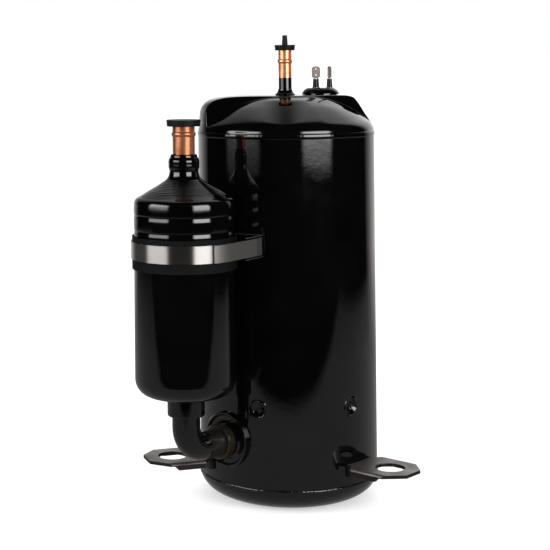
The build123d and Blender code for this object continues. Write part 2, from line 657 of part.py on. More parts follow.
with BuildPart() as discharge_reed:
    with BuildSketch(valve):
        with BuildLine():
            Polyline((STOP_RUN + 4.5, -3.6), (STOP_RUN + 4.5, 3.6), (6, 3.2), (2, 4.6),
                     (-3, 4.2), (-4.8, 0), (-3, -4.2), (2, -4.6), (6, -3.2), close=True)
        make_face()
        with Locations((STOP_RUN, 0)):
            Circle(2.0, mode=Mode.SUBTRACT)
    extrude(amount=0.4)
write(discharge_reed, "discharge_reed")

side_on = Plane(origin=polar(24, PORT_AZ, BLOCK_TOP + 7), x_dir=polar(1, PORT_AZ + 90, 0),
                z_dir=polar(1, PORT_AZ + 180, 0))
with BuildPart() as valve_stop:
    with BuildSketch(side_on):
        flip = 1 if side_on.y_dir.Z > 0 else -1
        with BuildLine():
            Polyline((STOP_RUN + 4.5, 0.4 * flip), (STOP_RUN - 5, 0.4 * flip), (14, 1.4 * flip),
                     (4, 2.6 * flip), (-4.5, 3.9 * flip), (-4.3, 5.0 * flip), (4, 3.7 * flip),
                     (14, 2.5 * flip), (STOP_RUN - 5, 1.5 * flip), (STOP_RUN + 4.5, 1.5 * flip),
                     close=True)
        make_face()
    extrude(amount=3.6, both=True)
    with BuildSketch(valve):
        with Locations((STOP_RUN, 0)):
            Circle(2.0)
    extrude(amount=8, mode=Mode.SUBTRACT)
write(valve_stop, "valve_stop")

with BuildPart() as valve_rivet:
    with BuildSketch(valve):
        with Locations((STOP_RUN, 0)):
            Circle(2.0)
    extrude(amount=1.5)
    with BuildSketch(valve.offset(1.55)):
        with Locations((STOP_RUN, 0)):
            Circle(3.2)
    extrude(amount=1.6, taper=20)
    with BuildSketch(valve.offset(1.4)):
        with Locations((STOP_RUN, 0)):
            Circle(2.0)
    extrude(amount=0.3)
write(valve_rivet, "valve_rivet")

with BuildPart() as muffler_cover:
    with BuildSketch(Plane.XZ):
        with BuildLine():
            Polyline((17.5, 94), (17.5, 92.8), (45, 92.8), (50, 88), (50, 78.2), (50, BLOCK_TOP + 12),
                     (56, BLOCK_TOP + 12), (56, BLOCK_TOP + 13.2), (51.2, BLOCK_TOP + 13.2),
                     (51.2, 88.5), (45.5, 94), close=True)
        make_face()
    revolve(axis=Axis.Z)
write(muffler_cover, "muffler_cover")

with BuildPart() as crankshaft:
    with BuildSketch(Plane.XY.offset(19)):
        Circle(LOWER_R)
    extrude(amount=BLOCK_Z + 1 - 19)
    with BuildSketch(Plane.XY.offset(BLOCK_Z + 0.1)):
        with Locations((ECC * VX, ECC * VY)):
            Circle(ECC_R)
    extrude(amount=BLOCK_H - 0.2)
    with BuildSketch(Plane.XY.offset(BLOCK_TOP - 1)):
        Circle(JOURNAL_R)
    extrude(amount=208 - BLOCK_TOP + 1)
    # oil bore, with ports to the eccentric and the main journal
    with BuildSketch(Plane.XY.offset(19)):
        Circle(3.2)
    extrude(amount=70, mode=Mode.SUBTRACT)
    for level in (BLOCK_Z + BLOCK_H / 2, 72):
        with BuildSketch(radial(VANE_AZ + 90, 0, level)):
            Circle(1.2)
        extrude(amount=30, mode=Mode.SUBTRACT)
    # vent drilling down the shaft's top end
    with BuildSketch(Plane.XY.offset(200)):
        with Locations((ECC / 2 * VX, ECC / 2 * VY)):
            Circle(2.0 + GAP)
    extrude(amount=10, mode=Mode.SUBTRACT)
write(crankshaft, "crankshaft")

with BuildPart() as vent_plug:
    with BuildSketch(Plane.XY.offset(200 + GAP)):
        with Locations((ECC / 2 * VX, ECC / 2 * VY)):
            Circle(2.0)
    extrude(amount=7.6)
write(vent_plug, "vent_plug")

with BuildPart() as oil_paddle:
    with BuildSketch(Plane.XY.offset(19.5)):
        Rectangle(6.3, 0.8)
    extrude(amount=42)
write(oil_paddle, "oil_paddle")

with BuildPart() as roller:
    with BuildSketch(Plane.XY.offset(BLOCK_Z + 0.03)):
        with Locations((ECC * VX, ECC * VY)):
            Circle(ROLLER_R)
            Circle(ECC_R + GAP, mode=Mode.SUBTRACT)
    extrude(amount=BLOCK_H - 0.06)
write(roller, "roller")

with BuildPart() as vane:
    tip = BORE_R + GAP
    with BuildSketch(Plane(origin=(0, 0, BLOCK_Z + 0.03), x_dir=polar(1, VANE_AZ, 0), z_dir=(0, 0, 1))):
        with BuildLine():
            ThreePointArc((tip + 0.6, -VANE_T / 2), (tip, 0), (tip + 0.6, VANE_T / 2))
            Polyline((tip + 0.6, VANE_T / 2), (tip + VANE_L, VANE_T / 2),
                     (tip + VANE_L, -VANE_T / 2), (tip + 0.6, -VANE_T / 2))
        make_face()
    extrude(amount=BLOCK_H - 0.06)
write(vane, "vane")

with BuildPart() as vane_spring:
    with BuildLine():
        coil = Helix(pitch=1.75, height=7.6, radius=3.3,
                     center=polar(BORE_R + GAP + VANE_L + 0.5, VANE_AZ, BLOCK_Z + BLOCK_H / 2),
                     direction=polar(1, VANE_AZ, 0))
    with BuildSketch(Plane(origin=coil @ 0, z_dir=coil % 0)):
        Circle(0.4)
    sweep(path=coil)
write(vane_spring, "vane_spring")

# ---- motor -------------------------------------------------------------------------------------
STATOR_TOP = STATOR_Z + STATOR_H

with BuildPart() as stator_core:
    with BuildSketch(Plane.XY.offset(STATOR_Z)):
        Circle(SHELL_IN)
        Circle(STATOR_BORE, mode=Mode.SUBTRACT)
        with PolarLocations(48.5, SLOTS):
            Rectangle(13, 5.0, mode=Mode.SUBTRACT)
        with PolarLocations(40, SLOTS):
            Rectangle(8, 2.0, mode=Mode.SUBTRACT)
        # gas passages round the outside
        with PolarLocations(SHELL_IN, 6):
            Rectangle(5, 22, mode=Mode.SUBTRACT)
    extrude(amount=STATOR_H)
write(stator_core, "stator_core")

with BuildPart() as slot_liners:
    with BuildSketch(Plane.XY.offset(STATOR_Z - 1.5)):
        with PolarLocations(48.5, SLOTS):
            Rectangle(12.98, 4.98)
        with PolarLocations(48.5, SLOTS):
            Rectangle(12.4, 4.4, mode=Mode.SUBTRACT)
    extrude(amount=STATOR_H + 3)
write(slot_liners, "slot_liners")

with BuildPart() as stator_windings:
    with BuildSketch(Plane.XY.offset(STATOR_Z - 3)):
        with PolarLocations(48.5, SLOTS):
            Rectangle(12.3, 4.3)
    extrude(amount=STATOR_H + 6)
    for low, high in ((112.0, STATOR_Z - 2), (STATOR_TOP + 2, 230.0)):
        with BuildSketch(Plane.XY.offset(low)):
            Circle(56)
            Circle(41, mode=Mode.SUBTRACT)
        extrude(amount=high - low)
write(stator_windings, "stator_windings")

with BuildPart() as rotor_core:
    with BuildSketch(Plane.XY.offset(STATOR_Z - 2)):
        Circle(ROTOR_R)
        Circle(JOURNAL_R, mode=Mode.SUBTRACT)
        with PolarLocations(31.5, BARS):
            Circle(2.4, mode=Mode.SUBTRACT)
        with PolarLocations(21, 4):
            Circle(2.0, mode=Mode.SUBTRACT)
    extrude(amount=STATOR_H + 4)
write(rotor_core, "rotor_core")

with BuildPart() as rotor_cage:
    with BuildSketch(Plane.XY.offset(STATOR_Z - 3)):
        with PolarLocations(31.5, BARS):
            Circle(2.4)
    extrude(amount=STATOR_H + 6)
    for low in (STATOR_Z - 7, STATOR_TOP + 2):
        with BuildSketch(Plane.XY.offset(low)):
            Circle(35)
            Circle(24, mode=Mode.SUBTRACT)
        extrude(amount=5)
write(rotor_cage, "rotor_cage")

for label, low, high, az in (("lower_balance_weight", 115.0, STATOR_Z - 7, VANE_AZ + 180),
                             ("upper_balance_weight", STATOR_TOP + 7, 220.0, VANE_AZ)):
    with BuildPart() as balance_weight:
        with BuildSketch(Plane.XY.offset(low)):
            Circle(33.5)
            Circle(17, mode=Mode.SUBTRACT)
            with Locations(polar(25, az)):
                Rectangle(50, 90, rotation=az, mode=Mode.INTERSECT)
            with PolarLocations(21, 4):
                Circle(2.0, mode=Mode.SUBTRACT)
        extrude(amount=high - low)
    write(balance_weight, label)

with BuildPart() as rotor_rivets:
    with BuildSketch(Plane.XY.offset(114)):
        with PolarLocations(21, 4):
            Circle(2.0)
    extrude(amount=107)
    for low in (113.0, 220.0):
        with BuildSketch(Plane.XY.offset(low)):
            with PolarLocations(21, 4):
                Circle(3.2)
        extrude(amount=2.0)
write(rotor_rivets, "rotor_rivets")

with BuildPart() as lead_wires:
    for i, (x, y) in enumerate(PINS):
        start = polar(48, 10 + 14 * i, 230.0)
        with BuildLine() as lead:
            Spline(start, polar(50 - i, 14 + 12 * i, 252), (x * 0.95 + 6, y * 1.1 + 2, 272), (x, y, 286),
                   tangents=[(0, 0, 1), (0, 0, 1)])
        with BuildSketch(Plane(origin=start, z_dir=(0, 0, 1))):
            Circle(1.4)
        sweep(path=lead.line)
write(lead_wires, "lead_wires")
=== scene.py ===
import json
import math

import bpy
import numpy as np
from mathutils import Matrix, Vector, noise


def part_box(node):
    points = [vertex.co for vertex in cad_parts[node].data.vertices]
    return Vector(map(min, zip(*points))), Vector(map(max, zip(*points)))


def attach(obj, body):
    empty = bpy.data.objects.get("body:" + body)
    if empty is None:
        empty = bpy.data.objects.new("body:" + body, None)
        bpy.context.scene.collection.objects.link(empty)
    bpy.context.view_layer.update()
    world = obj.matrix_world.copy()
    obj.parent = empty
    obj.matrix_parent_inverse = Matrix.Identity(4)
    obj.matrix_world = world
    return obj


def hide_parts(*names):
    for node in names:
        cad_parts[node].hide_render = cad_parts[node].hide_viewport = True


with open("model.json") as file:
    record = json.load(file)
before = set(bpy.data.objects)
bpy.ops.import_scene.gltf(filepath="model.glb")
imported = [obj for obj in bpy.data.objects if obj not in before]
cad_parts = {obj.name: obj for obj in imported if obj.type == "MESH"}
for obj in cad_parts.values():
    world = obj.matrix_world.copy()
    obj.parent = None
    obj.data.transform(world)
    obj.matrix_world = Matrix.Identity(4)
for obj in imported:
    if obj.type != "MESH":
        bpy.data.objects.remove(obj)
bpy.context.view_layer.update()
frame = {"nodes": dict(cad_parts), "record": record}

# Rotary refrigeration compressor. Metres, in the CAD frame: +Z up, front along -Y.
MM = 0.001
cad = frame["nodes"]
scene = bpy.context.scene
scene.view_settings.view_transform = "Standard"
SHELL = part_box("main_shell")[1].x                      # radius of the shell
RANGE = ("From Min", "From Max", "To Min", "To Max")   # inputs of a Map Range node


# ---- node trees ------------------------------------------------------------------
class Tree:
    """Short calls that build one node tree."""

    def __init__(self, tree):
        self.tree = tree

    def add(self, kind, **inputs):
        """New node. A keyword names a property or an input, with _ where the input's name has a space."""
        node = self.tree.nodes.new(kind)
        for key, value in inputs.items():
            if hasattr(node, key) and key not in node.inputs:
                setattr(node, key, value)
            else:
                self.put(node.inputs[key.replace("_", " ")], value)
        return node

    def put(self, socket, value):
        """Links the socket to another one, or sets its value."""
        if isinstance(value, bpy.types.NodeSocket):
            self.tree.links.new(value, socket)
        elif socket.type == "RGBA" and len(value) == 3:
            socket.default_value = (*value, 1)
        else:
            socket.default_value = value

    def ramp(self, value, low, high, a=0.0, b=1.0, shape="LINEAR"):
        """value mapped from low..high to a..b, clamped."""
        node = self.add("ShaderNodeMapRange", interpolation_type=shape)
        self.put(node.inputs["Value"], value)
        for key, number in zip(RANGE, (low, high, a, b)):
            self.put(node.inputs[key], number)
        return node.outputs["Result"]

    def math(self, kind, a, b=0.0):
        node = self.add("ShaderNodeMath", operation=kind)
        self.put(node.inputs[0], a)
        self.put(node.inputs[1], b)
        return node.outputs[0]

    def split(self, vector):
        """The x, y and z of a vector."""
        node = self.add("ShaderNodeSeparateXYZ")
        self.put(node.inputs[0], vector)
        return node.outputs

    def length(self, x, y):
        return self.math("SQRT", self.math("ADD", self.math("MULTIPLY", x, x), self.math("MULTIPLY", y, y)))

    def blend(self, share, a, b):
        """Shader a where share is 0, shader b where it is 1."""
        node = self.add("ShaderNodeMixShader")
        for socket, value in zip(node.inputs, (share, a, b)):
            self.put(socket, value)
        return node.outputs[0]


class Shade(Tree):
    """A node material around one Principled shader."""

    def __init__(self, name):
        self.material = bpy.data.materials.new(name)
        self.material.use_nodes = True
        super().__init__(self.material.node_tree)
        self.bsdf = self.tree.nodes["Principled BSDF"]
        self.where = self.add("ShaderNodeTexCoord").outputs["Object"]

    def stretch(self, x, y, z):
        """Object coordinates scaled per axis."""
        node = self.add("ShaderNodeMapping")
        self.put(node.inputs["Vector"], self.where)
        node.inputs["Scale"].default_value = (x, y, z)
        return node.outputs["Vector"]

    def noise(self, scale, detail=2.0, vector=None, rough=0.5):
        node = self.add("ShaderNodeTexNoise", Scale=scale, Detail=detail, Roughness=rough)
        self.put(node.inputs["Vector"], vector or self.where)
        return node.outputs["Fac"]

    def mix(self, share, a, b):
        """Colour a where share is 0, colour b where it is 1."""
        node = self.add("ShaderNodeMix", data_type="RGBA")
        self.put(node.inputs["Factor"], share)
        for socket, value in ((node.inputs[6], a), (node.inputs[7], b)):
            self.put(socket, value)
        return node.outputs[2]

    def bump(self, height, distance, strength=1.0, under=None):
        node = self.add("ShaderNodeBump", Strength=strength, Distance=distance)
        self.put(node.inputs["Height"], height)
        if under:
            self.put(node.inputs["Normal"], under)
        return node.outputs["Normal"]

    def from_axis(self):
        """Distance from the vertical axis of the shell."""
        x, y, _ = self.split(self.where)
        return self.length(x, y)

    def set(self, **inputs):
        for key, value in inputs.items():
            self.put(self.bsdf.inputs[key.replace("_", " ")], value)
        return self

    def show(self, shader):
        """Makes shader the surface, in place of the Principled shader alone."""
        self.put(self.tree.nodes["Material Output"].inputs["Surface"], shader)
        return self.material


# ---- materials -------------------------------------------------------------------
def paint_parts(s):
    """Colour, roughness and normal of the baked black paint."""
    cloud = s.noise(28, 3)
    colour = s.mix(s.ramp(cloud, 0.35, 0.7), (0.0006, 0.00055, 0.0006), (0.0011, 0.001, 0.001))
    rough = s.ramp(s.noise(70, 3), 0.3, 0.75, 0.035, 0.085)
    peel = s.bump(s.noise(260, 2), 0.00004, 0.5)
    normal = s.bump(s.noise(45, 1), 0.0003, 0.25, peel)
    return colour, rough, normal


def painted(name, dust=0.0):
    """A Shade in the black paint, made duller by dust."""
    s = Shade(name)
    colour, rough, normal = paint_parts(s)
    if dust:
        rough = s.math("ADD", rough, s.ramp(s.noise(160, 2), 0.35, 0.65, dust * 0.5, dust * 1.5))
    return s.set(Base_Color=colour, Roughness=rough, Normal=normal, IOR=1.5)


def copper_parts(s, tone):
    """Colour, roughness and normal of drawn copper. Its lighter draw streaks are partly grain, partly
    painted highlight.
    """
    drawn = s.noise(60, 3, s.stretch(14, 14, 0.6))
    stain = s.noise(190, 4)
    clean, stained, streak_and_sheen = ((c[0] * tone, c[1] * tone ** 1.3, c[2] * tone ** 1.5)
                            for c in ((0.62, 0.27, 0.14), (0.36, 0.12, 0.055), (0.72, 0.36, 0.21)))
    colour = s.mix(s.ramp(stain, 0.42, 0.72), clean, stained)
    # lighter streaks along the draw lines: partly the copper's drawn grain, partly painted highlight
    colour = s.mix(s.ramp(drawn, 0.35, 0.7, 0, 0.4), colour, streak_and_sheen)
    rough = s.ramp(drawn, 0.3, 0.7, 0.24, 0.34)
    normal = s.bump(drawn, 0.00003, 0.6)
    return colour, rough, normal


def copper(name, paint_top=None, waves=0.0006, tone=1.0):
    """Bare drawn copper, painted black below the height paint_top with an uneven edge."""
    s = Shade(name)
    colour, rough, normal = copper_parts(s, tone)
    s.set(Base_Color=colour, Roughness=rough, Normal=normal, Metallic=0.82)
    if paint_top is None:
        return s.material
    colour, rough, normal = paint_parts(s)
    coat = s.add("ShaderNodeBsdfPrincipled", Base_Color=colour, Roughness=rough, Normal=normal, IOR=1.5)
    ripples = 0.25 * waves
    edge = s.math("ADD", s.split(s.where)[2], s.ramp(s.noise(330, 1), 0.3, 0.7, -waves, waves))
    edge = s.math("ADD", edge, s.ramp(s.noise(1400, 2), 0.3, 0.7, -ripples, ripples))
    share = s.ramp(edge, paint_top - 0.0001, paint_top + 0.0001)
    return s.show(s.blend(share, coat.outputs[0], s.bsdf.outputs[0]))


def brushed(name, colour, rough=0.22, along=(3, 3, 400), depth=0.00002, tint=None, pull=0.85):
    """Rolled or turned metal with fine lines, which run level by default."""
    s = Shade(name)
    lines = s.noise(9, 4, s.stretch(*along), 0.7)
    cloud = s.noise(35, 3)
    base = s.mix(s.ramp(lines, 0.3, 0.7), colour, tuple(c * 0.88 for c in colour))
    base = s.mix(s.ramp(cloud, 0.45, 0.8, 0, 0.4), base, tint or tuple(c * 0.7 for c in colour))
    cloud_rough = s.ramp(cloud, 0.3, 0.7, 0, 0.03)
    rough = s.math("ADD", s.ramp(lines, 0.3, 0.7, rough - 0.02, rough + 0.03), cloud_rough)
    up = s.add("ShaderNodeCombineXYZ", Z=1.0)
    s.set(Base_Color=base, Roughness=rough, Metallic=1.0, Anisotropic=pull, Tangent=up.outputs[0])
    s.set(Normal=s.bump(lines, depth, 0.15))
    return s.material


def steel(name, colour, dark, rough=0.42, metallic=0.85, grain=260, depth=0.00006, cut=None):
    """Pressed or cast metal with mottled skin, darker in patches. cut, if given, is painted shade on upright
    faces.
    """
    s = Shade(name)
    patches = s.noise(42, 5, rough=0.6)
    fine = s.noise(grain, 4)
    base = s.mix(s.ramp(patches, 0.35, 0.68), colour, dark)
    base = s.mix(s.ramp(fine, 0.45, 0.75, 0, 0.45), base, tuple(c * 0.6 for c in dark))
    if cut:
        # painted shade on upright faces, sheared or turned down: they are darker than the level rolled skin
        facing = s.split(s.add("ShaderNodeNewGeometry").outputs["True Normal"])[2]
        base = s.mix(s.ramp(s.math("ABSOLUTE", facing), 0.06, 0.3), cut, base)
    rough = s.ramp(patches, 0.3, 0.7, rough - 0.06, rough + 0.12)
    s.set(Base_Color=base, Roughness=rough, Metallic=metallic, Normal=s.bump(fine, depth, 0.7))
    return s.material


def dull(name, colour, rough=0.6, grain=500, depth=0.00004, shine=0.5):
    """Rubber, plastic, card and the like: fine moulded texture and slight colour drift."""
    s = Shade(name)
    fine = s.noise(grain, 3)
    cloud = s.noise(60, 3)
    base = s.mix(s.ramp(cloud, 0.3, 0.7), colour, tuple(c * 0.65 for c in colour))
    rough = s.ramp(fine, 0.3, 0.7, rough - 0.06, rough + 0.08)
    s.set(Base_Color=base, Roughness=rough, Normal=s.bump(fine, depth, 0.6), Specular_IOR_Level=shine)
    return s.material


def sealing_glass(name):
    s = Shade(name)
    swirl = s.noise(420, 3)
    base = s.mix(s.ramp(swirl, 0.35, 0.7), (0.012, 0.03, 0.022), (0.03, 0.06, 0.05))
    s.set(Base_Color=base, Roughness=0.08, Coat_Weight=1.0, Normal=s.bump(swirl, 0.00005, 0.4))
    return s.material


def wire_mesh(name):
    s = Shade(name)
    weave = s.add("ShaderNodeTexChecker", Vector=s.where, Scale=900.0).outputs["Fac"]
    base = s.mix(weave, (0.45, 0.45, 0.44), (0.12, 0.12, 0.12))
    s.set(Base_Color=base, Roughness=0.4, Metallic=0.9, Normal=s.bump(weave, 0.0001))
    return s.material


def two_coats(s, share, colour, rough, normal, metallic):
    """The painted surface of s where share is 0, a second finish where it is 1."""
    over = s.add("ShaderNodeBsdfPrincipled", Base_Color=colour, Roughness=rough, Normal=normal,
                 Metallic=metallic)
    return s.show(s.blend(share, s.bsdf.outputs[0], over.outputs[0]))


def bracket_finish(name):
    """Stainless arms. The seat welded to the shell is painted, with bare edges."""
    s = painted(name)
    low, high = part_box("accumulator_bracket")
    strap_low, strap_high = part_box("accumulator_strap")
    middle = (strap_low.z + strap_high.z) / 2
    strap, edge = strap_high.z - middle, (high.z - low.z) / 2
    away = s.math("ABSOLUTE", s.math("SUBTRACT", s.split(s.where)[2], middle))
    arms = s.math("MULTIPLY", s.ramp(s.from_axis(), SHELL + 0.0024, SHELL + 0.0028),
                  s.ramp(away, strap + 0.0002, strap + 0.0001))
    rim = s.ramp(away, edge - 0.0005, edge - 0.0003)
    lines = s.noise(9, 4, s.stretch(3, 3, 400), 0.7)
    colour = s.mix(s.ramp(lines, 0.3, 0.7), (0.36, 0.345, 0.325), (0.29, 0.275, 0.26))
    rough = s.ramp(lines, 0.3, 0.7, 0.4, 0.46)
    return two_coats(s, s.math("MAXIMUM", arms, rim), colour, rough, s.bump(lines, 0.00002, 0.15), 1.0)


def brazed(name, grain, waves, clean, scorched, cover, light, dark, smoothest, depth, strength, metallic):
    """Painted steel, brown from braze. clean and scorched are distances from the shell: the brown begins
    at the first and is full from the second on."""
    s = painted(name)
    lumps = s.noise(grain, 4)
    reach = s.math("ADD", s.from_axis(), s.ramp(lumps, 0.3, 0.7, -waves, waves))
    share = s.math("MULTIPLY", s.ramp(reach, SHELL + clean, SHELL + scorched), cover)
    brown = s.mix(s.ramp(lumps, 0.35, 0.65), light, dark)
    rough = s.ramp(lumps, 0.3, 0.7, smoothest, 0.5)
    return two_coats(s, share, brown, rough, s.bump(lumps, depth, strength), metallic)


STUB_PAINT, INLET_PAINT = 0.3218, 0.2681               # heights where the paint on the two stubs ends
paint = painted("black_paint").material
finish = {
    "black_paint": paint,
    # the feet's cut colour is painted shade on their upright faces
    "bare_steel": steel("bare_steel", (0.155, 0.137, 0.128), (0.06, 0.05, 0.046), 0.38, 0.8,
                        cut=(0.016, 0.0145, 0.014)),
    "stainless": brushed("stainless", (0.36, 0.345, 0.33), 0.28, tint=(0.30, 0.285, 0.27), pull=1.0),
    "copper": copper("copper"),
    "black_rubber": dull("black_rubber", (0.003, 0.0028, 0.0028), shine=0.07),
    "grey_rubber": dull("grey_rubber", (0.0045, 0.0043, 0.0042), 0.42, 420, 0.00008, shine=0.1),
    "glass": sealing_glass("glass"),
    "insulator": dull("insulator", (0.003, 0.0028, 0.0028), 0.12, 300, 0.0001, shine=0.16),
    # the tabs' cut colour is painted shade on their upright faces
    "tab_metal": steel("tab_metal", (0.44, 0.37, 0.33), (0.30, 0.24, 0.21), 0.28, 0.85, 700, 0.00002,
                       cut=(0.25, 0.21, 0.19)),
    "machined_iron": brushed("machined_iron", (0.30, 0.30, 0.30), 0.3, (40, 40, 300)),
    "lamination": brushed("lamination", (0.34, 0.33, 0.33), 0.35, (2, 2, 2000), 0.0001),
    "magnet_wire": brushed("magnet_wire", (0.55, 0.20, 0.07), 0.25, (5, 5, 900), 0.0001),
    "paper": dull("paper", (0.75, 0.71, 0.60), 0.7),
    "aluminium": steel("aluminium", (0.72, 0.72, 0.73), (0.5, 0.5, 0.52), 0.4),
    "hard_steel": brushed("hard_steel", (0.50, 0.50, 0.51), 0.12, (3, 3, 500)),
    "plain_steel": steel("plain_steel", (0.45, 0.45, 0.45), (0.28, 0.27, 0.26), 0.35),
    "lead": dull("lead", (0.66, 0.62, 0.54)),
    "nylon": dull("nylon", (0.80, 0.79, 0.74), 0.5),
    "mesh": wire_mesh("mesh"),
}
for row in frame["record"]["subparts"]:
    node = cad[row["node"]]
    node.data.materials.clear()
    node.data.materials.append(finish[row["material_slot"]])
for node, material in (
    ("discharge_stub", copper("discharge_copper", STUB_PAINT, 0.0003)),
    ("accumulator_bracket", bracket_finish("bracket_finish")),
    # the braze around the tube shows on the flange's neck
    ("suction_port_boss", brazed("brazed_boss", 420, 0.0012, 0.0052, 0.0062, 0.65, (0.030, 0.022, 0.012),
                                 (0.008, 0.006, 0.004), 0.26, 0.0005, 0.8, 0.5)),
    # the elbow is scorched beside the port
    ("suction_elbow", brazed("brazed_elbow", 300, 0.002, 0.030, 0.022, 0.75, (0.018, 0.014, 0.009),
                             (0.006, 0.005, 0.004), 0.3, 0.0003, 0.6, 0.4)),
    ("inlet_stub", copper("inlet_copper", INLET_PAINT, 0.0008, tone=0.62)),
):
    cad[node].data.materials[0] = material

# ---- mesh helpers ----------------------------------------------------------------
def build(name, points, faces, material, body="housing", stands_for=(), slot=None, smooth=True):
    mesh = bpy.data.meshes.new(name)
    mesh.from_pydata([tuple(p) for p in points], [], faces)
    mesh.validate()
    mesh.update()
    for polygon in mesh.polygons:
        polygon.use_smooth = smooth
    obj = bpy.data.objects.new(name, mesh)
    scene.collection.objects.link(obj)
    obj.data.materials.append(material)
    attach(obj, body)
    if stands_for:
        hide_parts(*stands_for)
    return obj


def turned(name, profile, centre, material, steps=256, shift=None, **rest):
    """Closed profile of (radius, height) turned about the vertical at centre.

    shift(r, z, angle) may move a point.
    """
    count = len(profile)
    points = []
    for i in range(steps):
        a = 2 * math.pi * i / steps
        for r, z in profile:
            if shift:
                r, z = shift(r, z, a)
            points.append((centre[0] + r * math.cos(a), centre[1] + r * math.sin(a), z))
    faces = [(i * count + j, ((i + 1) % steps) * count + j, ((i + 1) % steps) * count + (j + 1) % count,
              i * count + (j + 1) % count) for i in range(steps) for j in range(count)]
    return build(name, points, faces, material, **rest)


def smooth_line(anchors, step):
    """Catmull-Rom points through the anchors, about step apart."""
    out = []
    n = len(anchors)
    for i in range(n - 1):
        p0, p1, p2, p3 = (np.array(anchors[min(max(k, 0), n - 1)], float) for k in (i - 1, i, i + 1, i + 2))
        cuts = max(2, int(np.linalg.norm(p2 - p1) / step))
        for k in range(cuts):
            t = k / cuts
            out.append(0.5 * (2 * p1 + (p2 - p0) * t + (2 * p0 - 5 * p1 + 4 * p2 - p3) * t * t
                              + (3 * p1 - p0 - 3 * p2 + p3) * t ** 3))
    out.append(np.array(anchors[-1], float))
    return out


def crisp(node, width, angle=32):
    """Rounded edges on a CAD node by modifiers alone."""
    weld = cad[node].modifiers.new("weld", "WELD")
    weld.merge_threshold = 1e-6
    bevel = cad[node].modifiers.new("bevel", "BEVEL")
    bevel.width, bevel.segments, bevel.limit_method = width, 3, "ANGLE"
    bevel.angle_limit = math.radians(angle)
    bevel.harden_normals = True


for node, width in (("foot_left", 0.0004), ("foot_right", 0.0004), ("foot_rear", 0.0004),
                    ("discharge_plug", 0.0003), ("inlet_plug", 0.0004)):
    crisp(node, width)

# ---- top cap: crown and plateau run into each other with soft creases --------------
cap_low, cap_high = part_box("top_cap")
RADIUS = cap_high.x
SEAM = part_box("main_shell")[1].z
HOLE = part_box("discharge_stub")[1].x - 0.00075
cup_low, cup_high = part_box("terminal_cup")
TERMINAL = (cup_low + cup_high) / 2
OPENING = 0.013              # radius of the cap's opening under the terminal
PLATEAU = 308.5              # height of the plateau, mm
WALL = 3.0                   # thickness, mm
SKIRT, INSIDE = 65.5, 62.5   # outer and inner radius of the skirt, mm


def curve(x, anchors):
    """Monotone cubic through (x, value) anchors."""
    xs, ys = np.array(anchors).T
    h, d = np.diff(xs), np.diff(ys) / np.diff(xs)
    m = np.zeros(len(xs))
    for i in range(1, len(xs) - 1):
        if d[i - 1] * d[i] > 0:
            m[i] = 2 * d[i - 1] * d[i] / (d[i - 1] + d[i])
    m[-1] = d[-1] * 2
    i = np.clip(np.searchsorted(xs, x) - 1, 0, len(h) - 1)
    t = np.clip((x - xs[i]) / h[i], 0, 1)
    return ((1 + 2 * t) * (1 - t) ** 2 * ys[i] + t * (1 - t) ** 2 * h[i] * m[i]
            + t * t * (3 - 2 * t) * ys[i + 1] + t * t * (t - 1) * h[i] * m[i + 1])


def soft_max(a, b, k):
    h = np.clip(0.5 + 0.5 * (a - b) / k, 0, 1)
    return b + (a - b) * h + k * h * (1 - h)


def cap_height(x, y):
    """Height of the cap's outer face over (x, y), in mm."""
    r = np.hypot(x, y)
    edge = [(68.0, 283.4), (68.42, 281.4), (68.5, 279)]
    dome = curve(r, [(0, 308.2), (18, 307.9), (32, 305.7), (44, 301.4), (57, 294.0), (63.5, 289.2),
                     (66.6, 286.0)] + edge)
    # shallow radial fold in front of the terminal
    a = math.radians(-64.5)
    over = np.maximum(y * math.cos(a) - x * math.sin(a), 0)
    along = np.clip((x * math.cos(a) + y * math.sin(a) - 26) / 12, 0, 1) * np.clip((67 - r) / 7, 0, 1)
    dome = dome - 0.75 * (1 - np.exp(-over / 9)) * along * along * (3 - 2 * along)
    # the plateau has two lobes: a wide one to the left and a short one to the right, 29 degrees to the back
    top = [(0, PLATEAU), (31, PLATEAU), (41, 308.2)]
    wide = curve(r, top + [(51, 307.3), (58.5, 305.6), (62.5, 303.4), (65.3, 300.3), (66.8, 296.5),
                           (67.6, 290)] + edge)
    short = curve(r, top + [(47.5, 307.8), (53, 306.3), (56, 303), (58.8, 298.8), (61.8, 293.8),
                            (64.5, 289.8)] + edge)
    c, s = math.cos(math.radians(29)), math.sin(math.radians(29))
    out, across = x * c + y * s, y * c - x * s
    tall = wide + (short - wide) * np.clip((out + 10) / 20, 0, 1)
    # deep is the distance inside the outline of the lobes and the middle
    left = np.minimum(29.0 - np.abs(y), 8.0 - x)
    right = np.minimum(28.0 - np.abs(across), out + 8.0)
    deep = soft_max(soft_max(left, right, 3.0), 30.0 - r, 5.0)
    # the flank is rounded at its top edge and drops steeply to the crown
    flank = -0.457 * np.clip(6.5 - deep, 0, 3.5) ** 2 - 3.2 * np.clip(3.0 - deep, 0, 12)
    lower = -soft_max(-tall, -PLATEAU - flank, 1.2)
    return soft_max(dome, lower, 1.1)


